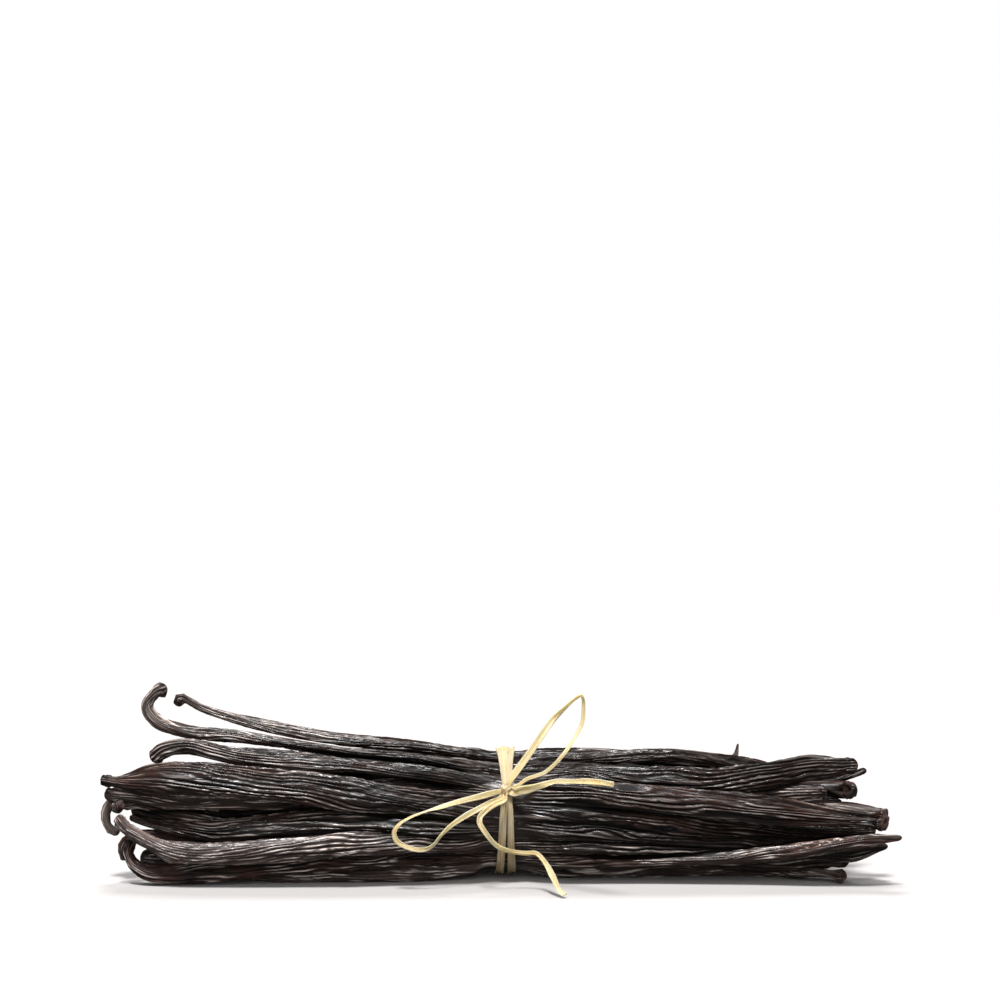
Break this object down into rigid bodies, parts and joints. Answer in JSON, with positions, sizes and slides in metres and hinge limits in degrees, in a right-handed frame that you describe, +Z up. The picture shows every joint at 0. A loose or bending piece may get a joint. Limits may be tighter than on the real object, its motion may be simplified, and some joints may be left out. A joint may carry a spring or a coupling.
{
  "type": "bundle of vanilla pods",
  "caption": "Bundle of dark, wrinkled cured vanilla pods lying on a surface, tied round the middle with pale raffia in a loose bow.",
  "frame": {"origin": "middle of the outer box of the pods and the tie, at the height of the surface that they lie on; the free strands of the bow aren't counted", "axes": "+X along the pods, to the right as seen from the knot's side; +Y to the back, away from the knot; +Z up"},
  "size_m": [0.1853, 0.0602, 0.0455],
  "materials": {
    "pod_skin": "cured pod skin: near-black brown, lengthwise wrinkles, oily satin",
    "raffia": "dry palm leaf straw: pale straw yellow, lengthwise fibres, matte"
  },
  "bodies": {
    "root": {"vanilla_pods": "pod_skin", "raffia_tie": "raffia", "raffia_loop_left": "raffia", "raffia_loop_right": "raffia", "raffia_tail_right": "raffia", "raffia_tail_front": "raffia"}
  },
  "joints": []
}
